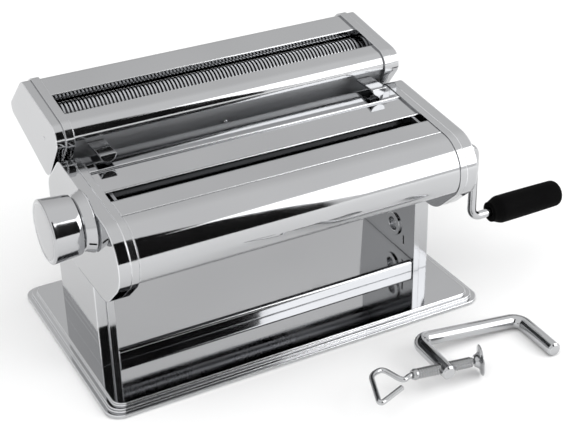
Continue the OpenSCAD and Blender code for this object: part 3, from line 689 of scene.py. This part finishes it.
def tube(name: str, path: Sequence[Vector], radius: float, sides: int) -> bpy.types.Object:
    """Runs a round wire with rounded ends along a path.

    Args:
        name: the piece's name.
        path: its centre line.
        radius: the wire's radius.
        sides: how many facets go round.

    Returns:
        The piece.
    """
    corners: list[Point] = []
    start, end = (path[1] - path[0]).normalized(), (path[-1] - path[-2]).normalized()
    stops = [(path[0] + start * radius * sink, start, share) for sink, share in WIRE_END]
    stops += [(at, (after - before).normalized(), 1.0)
              for before, at, after in zip(path, path[1:], path[2:])]
    stops += [(path[-1] - end * radius * sink, end, share) for sink, share in reversed(WIRE_END)]
    side = start.orthogonal().normalized()
    for at, ahead, share in stops:
        side = (side - ahead * side.dot(ahead)).normalized()
        up = ahead.cross(side)
        for k in range(sides):
            turn = math.tau * k / sides
            out = side * (radius * share * math.cos(turn)) + up * (radius * share * math.sin(turn))
            corners.append(tuple(at + out))
    return creased(piece(name, corners, capped(rows_of(len(stops), sides))))


@dataclass
class SideCovers:
    """The two outer side covers, whose legs drop straight to the deck."""

    leg_face: float = 103.5 * MM
    wall: float = 1.0 * MM
    foot_radius: float = 16.0 * MM
    foot_height: float = 15.36 * MM
    slack: float = 0.01 * MM
    skin_slack: float = 0.1 * MM

    def straighten(self, mesh: bpy.types.Mesh) -> None:
        """Brings the foot of a leg into line with its face.

        Args:
            mesh: the cover's mesh.
        """
        for vertex in mesh.vertices:
            x, z = abs(vertex.co.x), vertex.co.z
            if x < self.leg_face - self.wall - self.slack or z > self.foot_height + self.slack:
                continue
            reach = math.hypot(x - self.leg_face - self.foot_radius, z - self.foot_height)
            inside = abs(reach - self.foot_radius - self.wall) < self.skin_slack
            straight = self.leg_face - (self.wall if inside else 0.0)
            vertex.co.x = math.copysign(straight, vertex.co.x)

    def build(self, wardrobe: Wardrobe) -> None:
        """Builds both covers.

        Args:
            wardrobe: dresses them.
        """
        for side in ("left", "right"):
            node = side + "_side_cover"
            mesh = frame["nodes"][node].data.copy()
            self.straighten(mesh)
            cover = bpy.data.objects.new(side + "_cover_sheet", mesh)
            bpy.context.scene.collection.objects.link(cover)
            wardrobe.finish(cover, Slot.POLISHED, "housing", node)


@dataclass
class Tray:
    """The sheet tray that catches the dough, with its turned-down front."""

    half: float = 93.3 * MM
    front: float = -29.7 * MM
    back: float = 25.2 * MM
    deck: float = 5.5 * MM
    front_top: float = 12.5 * MM
    back_top: float = 15.0 * MM
    bend: float = 2.2 * MM
    bend_step: int = 6
    sheet: float = 1.0 * MM
    hold: float = 0.25 * MM

    def edge(self, radius: float) -> list[Flat]:
        """Draws the bent front edge.

        Args:
            radius: of the bend's outer or inner skin.

        Returns:
            Its points, from the front face up to the top.
        """
        y, z = self.front + self.bend, self.front_top - self.bend
        turns = [math.radians(a) for a in range(0, 91, self.bend_step)]
        return [(y - radius * math.cos(turn), z + radius * math.sin(turn)) for turn in turns]

    def section(self) -> list[Flat]:
        """Draws the tray seen from its end.

        Points stand close beside each bend, so that the flat faces shade flat.

        Returns:
            The closed outline.
        """
        t, hold = self.sheet, self.hold
        slope = (self.back_top - self.front_top) / (self.back - self.front - self.bend)
        outer = [(self.front, self.deck), (self.front, self.front_top - self.bend - hold)]
        outer += self.edge(self.bend)
        outer += [(self.front + self.bend + hold, self.front_top + hold * slope),
                  (self.back - hold, self.back_top - hold * slope),
                  (self.back, self.back_top), (self.back, self.deck)]
        inner = [(self.back - t, self.deck), (self.back - t, self.back_top - t)]
        inner += self.edge(self.bend - t)[::-1]
        return outer + inner + [(self.front + t, self.deck)]

    def build(self, wardrobe: Wardrobe) -> None:
        """Builds the tray.

        Args:
            wardrobe: dresses it.
        """
        tray = creased(swept("tray_sheet", self.section()[::-1], -self.half, self.half))
        tray.data.polygons.foreach_set("use_smooth", [True] * len(tray.data.polygons))
        wardrobe.finish(tray, Slot.POLISHED, "housing", "chute_tray")


@dataclass
class CrankGrip:
    """The black moulded grip that spins on the crank's end."""

    start: Point = (131.0 * MM, -51.2 * MM, 45.5 * MM)
    length: float = 48.95 * MM
    neck: float = 6.0 * MM
    neck_chamfer: Flat = (0.25 * MM, 0.3 * MM)
    neck_face: float = 1.0 * MM
    swell: float = 8.15 * MM
    swell_ends: Flat = (0.5 * MM, 7.5 * MM)
    tail: float = 7.8 * MM
    tail_round: float = 3.4 * MM
    crown: Flat = (0.15 * MM, 2.0 * MM)
    bore: float = 2.6 * MM
    bore_depth: float = 1.2 * MM
    bore_chamfer: Flat = (0.3 * MM, 0.5 * MM)
    sides: int = 64

    def profile(self) -> list[Flat]:
        """Draws half the grip from its neck to its rounded tail.

        Returns:
            (along, radius) points.
        """
        deep, wide = self.bore_chamfer
        points = [(self.bore_depth, self.bore), (deep, self.bore + wide),
                  (0.0, self.neck - self.neck_face),
                  (self.neck_chamfer[0], self.neck - self.neck_chamfer[1])]
        first, last = self.swell_ends
        swells, falls = 12, 9
        for k in range(swells + 1):
            t = k / swells
            rise = t * t * (3 - 2 * t)
            points.append((first + (last - first) * t, self.neck + (self.swell - self.neck) * rise))
        end = self.length - self.tail_round
        for k in range(1, falls + 1):
            t = k / falls
            points.append((last + (end - last) * t, self.swell - (self.swell - self.tail) * t * t))
        reach = (self.tail_round, self.tail_round)
        points += rounded((end, self.tail - self.tail_round), reach, 8)
        top = self.length + self.crown[0]
        return points + [(top, self.crown[1]), (top, 0.0)]

    def build(self, wardrobe: Wardrobe) -> None:
        """Builds the grip.

        Args:
            wardrobe: dresses it.
        """
        place = Matrix.Translation(self.start)
        grip = lathed("grip_body", self.profile(), place, self.sides)
        wardrobe.finish(grip, Slot.PLASTIC, "grip", "crank_grip")


@dataclass(frozen=True)
class ClampRest:
    """How the table clamp lies on the table; angles in degrees."""

    spot: Flat = (85.0 * MM, -99.8 * MM)
    lean: float = 6.0
    turn: float = -2.2
    back: float = 67.4 * MM
    rod: float = 8.0 * MM
    arm: float = 34.0 * MM
    behind: float = 19.7 * MM
    inset: float = 5.8 * MM

    def screw_frame(self) -> Matrix:
        """Finds where the screw starts.

        Returns:
            The screw's own frame, with x along its axis.
        """
        lean = math.radians(self.lean)
        height = self.rod / 2 + self.back / 2 * math.sin(lean)
        start = (-self.back / 2 - self.behind, self.inset - self.arm, 0.0)
        return (Matrix.Translation((*self.spot, height))
                @ Matrix.Rotation(math.radians(self.turn), 4, "Z")
                @ Matrix.Rotation(lean, 4, "Y") @ Matrix.Translation(start))


@dataclass
class ClampScrew:
    """The threaded screw with its wire handle and its swivel pad.

    The bends and rows are in millimetres; the tip's rows count from the screw's end.
    """

    place: Matrix
    length: float = 37.0 * MM
    crest: float = 3.0 * MM
    groove: float = 2.2 * MM
    pitch: float = 1.5 * MM
    flank: float = 1.25
    plain_end: float = 2.6 * MM
    lead_in: float = 1.2 * MM
    lead_out: float = 1.0 * MM
    chamfer: float = 0.6 * MM
    step: float = 0.25 * MM
    thread_sides: int = 30
    thread_crease: float = 60.0
    wire: float = 1.5 * MM
    wire_bend: float = 4.2 * MM
    bends: tuple[Flat, ...] = ((3.4, 0.0), (-1.5, 0.0), (-7.2, -3.4), (-12.0, 10.4),
                               (-20.8, 6.8), (-29.2, -17.6), (-10.7, -8.2))
    tip: tuple[Flat, ...] = ((-0.4, 1.6), (3.2, 1.6), (3.3, 2.3), (3.8, 2.0))
    ball: float = 3.4 * MM
    swivel: Flat = (-19.0, -9.0)
    pad: tuple[Flat, ...] = ((1.5, 2.0), (1.5, 2.9), (1.8, 3.2), (2.6, 3.6), (3.6, 4.1),
                             (4.3, 5.0), (4.7, 6.4), (4.85, 7.6), (4.95, 8.2), (5.15, 8.4),
                             (5.4, 8.4), (5.6, 8.2), (5.65, 7.4), (5.5, 6.6), (5.5, 0.0))

    def thread(self) -> bpy.types.Object:
        """Cuts the screw with its helical thread.

        Returns:
            The screw.
        """
        count = round(self.length / self.step)
        corners: list[Point] = []
        for k in range(count + 1):
            along = k * self.step
            ease = min(1.0, along / self.lead_in, (self.length - along) / self.lead_out)
            core = self.crest - self.chamfer * (1.0 - ease)
            cut = self.crest - self.groove if along > self.plain_end else 0.0
            for i in range(self.thread_sides):
                phase = (along / self.pitch - i / self.thread_sides) % 1.0
                radius = core - cut * min(1.0, abs(2.0 * phase - 1.0) * self.flank)
                turn = math.tau * i / self.thread_sides
                spot = Vector((along, radius * math.cos(turn), radius * math.sin(turn)))
                corners.append(tuple(self.place @ spot))
        faces = capped(rows_of(count + 1, self.thread_sides))
        return creased(piece("screw_thread", corners, faces), self.thread_crease)

    def handle(self) -> bpy.types.Object:
        """Bends the wire handle."""
        path = [self.place @ Vector((x * MM, y * MM, 0.0)) for x, y in self.bends]
        return tube("handle_wire", filleted(path, self.wire_bend), self.wire, 24)

    def cup(self) -> bpy.types.Object:
        """Turns the pad, tilted about the ball at the screw's tip.

        Returns:
            The pad.
        """
        about_z, about_y = (math.radians(angle) for angle in self.swivel)
        tilt = Matrix.Rotation(about_z, 4, "Z") @ Matrix.Rotation(about_y, 4, "Y")
        place = self.place @ Matrix.Translation((self.length + self.ball, 0.0, 0.0)) @ tilt
        rows = [(along * MM - self.ball, radius * MM) for along, radius in self.pad]
        return lathed("pad_cup", rows, place, 56)

    def build(self, wardrobe: Wardrobe) -> None:
        """Builds screw, handle, tip and pad.

        Args:
            wardrobe: dresses them.
        """
        wardrobe.finish(self.thread(), Slot.PLATED, "screw", "clamp_screw")
        wardrobe.finish(self.handle(), Slot.PLATED, "screw", "clamp_handle")
        rows = [(self.length + along * MM, radius * MM) for along, radius in self.tip]
        wardrobe.finish(lathed("screw_tip", rows, self.place, 24), Slot.PLATED, "screw")
        wardrobe.finish(self.cup(), Slot.PLATED, "pad", "clamp_pad")


@dataclass
class ThicknessDial:
    """The dial that sets the gap, and the index slot on its boss, its shade painted as a black
    wire.

    The edges, the grooved face and the mark's ends are rows in millimetres.
    """

    join: float = -111.0 * MM
    centre: Flat = (-35.0 * MM, 98.5 * MM)
    length: float = 16.4 * MM
    shaft: float = 4.1 * MM
    shaft_chamfer: float = 0.3 * MM
    waist: float = 14.2 * MM
    waist_edge: tuple[Flat, ...] = ((0.0, -0.7), (0.2, -0.2))
    shoulder: float = 15.6 * MM
    shoulder_edge: Flat = (0.8 * MM, 0.25 * MM)
    rim: float = 16.8 * MM
    rim_short: float = 0.15 * MM
    rim_round: float = 1.2 * MM
    skirt: Flat = (1.5 * MM, 14.5 * MM)
    face_inset: float = 1.9 * MM
    face: tuple[Flat, ...] = ((0.0, 0.25), (0.3, 0.0), (0.35, -0.3), (0.1, -0.75), (0.02, -1.6))
    face_sink: float = 0.02 * MM
    sides: int = 72
    mark_turn: float = 200.0
    mark_ends: tuple[Flat, ...] = ((-105.7, 16.12), (-109.2, 14.6))
    mark_stops: tuple[float, ...] = (0.0, 0.1, 0.5, 0.9, 1.0)
    mark_radius: float = 0.45 * MM

    def profile(self) -> list[Flat]:
        """Draws half the knob from its join to its grooved face.

        Returns:
            (along, radius) points.
        """
        first, last = self.skirt
        points = [(self.shaft_chamfer, self.shaft), (0.0, self.shaft + self.shaft_chamfer)]
        points += [(along * MM, self.waist + out * MM) for along, out in self.waist_edge]
        along, low = self.shoulder_edge
        points += [(along, self.shoulder - low), (first, self.shoulder)]
        steps, widening = 8, self.rim - self.rim_short - self.shoulder
        for k in range(1, steps + 1):
            t = k / steps
            points.append((first + (last - first) * t, self.shoulder + widening * t))
        centre = (self.length - self.rim_round, self.rim - self.rim_round)
        points += rounded(centre, (self.rim_round, self.rim_round), 7)
        inner = self.rim - self.face_inset
        points += [(self.length - deep * MM, inner + out * MM) for deep, out in self.face]
        flat = self.length - self.face_sink
        return points + [(flat, inner / 2), (flat, 0.0)]

    def build(self, wardrobe: Wardrobe) -> None:
        """Builds the knob, and a black wire whose colour paints the shade in the index slot.

        Args:
            wardrobe: dresses them.
        """
        y, z = self.centre
        place = Matrix.Translation((self.join, y, z)) @ Matrix.Rotation(math.pi, 4, "Z")
        knob = lathed("dial_knob", self.profile(), place, self.sides)
        wardrobe.finish(knob, Slot.KNOB, "knob", "thickness_knob")
        # Painted shade: a black plastic wire lies where the index slot's dark inside is
        turn = math.radians(self.mark_turn)
        start, end = [Vector((x * MM, y + r * MM * math.cos(turn), z + r * MM * math.sin(turn)))
                      for x, r in self.mark_ends]
        path = [start.lerp(end, stop) for stop in self.mark_stops]
        wardrobe.finish(tube("dial_slot_shade", path, self.mark_radius, 12), Slot.PLASTIC, "housing")


@dataclass
class SmallFasteners:
    """Small heads on the cutter unit: the back sheet's screw and the dimples of the end caps.

    Each head's size is its radius and its height.
    """

    panel_screw: Point = (-5.5 * MM, 11.05 * MM, 110.4 * MM)
    panel_lean: float = 15.0
    panel_head: Flat = (1.5 * MM, 0.7 * MM)
    dimple: Flat = (27.3 * MM, 117.9 * MM)
    dimple_head: Flat = (1.1 * MM, 0.35 * MM)
    cap_face: float = 103.6 * MM
    foot: tuple[Flat, ...] = ((-0.3 * MM, 0.7), (-0.05 * MM, 0.97))
    crown: Flat = (0.96, 0.12)
    sides: int = 28

    def head(self, name: str, place: Matrix, size: Flat) -> bpy.types.Object:
        """Turns one low domed head.

        Args:
            name: the piece's name.
            place: where its foot is, with x out of the surface.
            size: its radius and its height.

        Returns:
            The head.
        """
        radius, height = size
        rows = [(along, radius * share) for along, share in self.foot]
        rows += rounded((0.0, 0.0), (height, radius), 6, first=0)[:-1]
        rows += [(height, radius * self.crown[1]), (height * self.crown[0], 0.0)]
        return lathed(name, rows, place, self.sides)

    def build(self, wardrobe: Wardrobe) -> None:
        """Builds every head.

        Args:
            wardrobe: dresses them.
        """
        lean = Matrix.Rotation(math.radians(self.panel_lean), 4, "X")
        out = Matrix.Rotation(math.radians(-90), 4, "Z")
        place = Matrix.Translation(self.panel_screw) @ lean @ out
        screw = self.head("panel_screw", place, self.panel_head)
        wardrobe.finish(screw, Slot.PLATED, "cutter")
        for side, name in ((-1, "left_cap_dimple"), (1, "right_cap_dimple")):
            place = (Matrix.Translation((side * self.cap_face, *self.dimple))
                     @ Matrix.Rotation(math.pi if side < 0 else 0.0, 4, "Z"))
            wardrobe.finish(self.head(name, place, self.dimple_head), Slot.POLISHED, "cutter")


def main() -> None:
    """Builds the scene."""
    logging.basicConfig(level=logging.INFO)
    Studio().build()
    wardrobe = Wardrobe()
    wardrobe.build()
    log.info("dressed %d nodes", len(frame["nodes"]))
    SideCovers().build(wardrobe)
    Tray().build(wardrobe)
    CrankGrip().build(wardrobe)
    ClampScrew(place=ClampRest().screw_frame()).build(wardrobe)
    ThicknessDial().build(wardrobe)
    SmallFasteners().build(wardrobe)


if __name__ == "__main__":
    main()
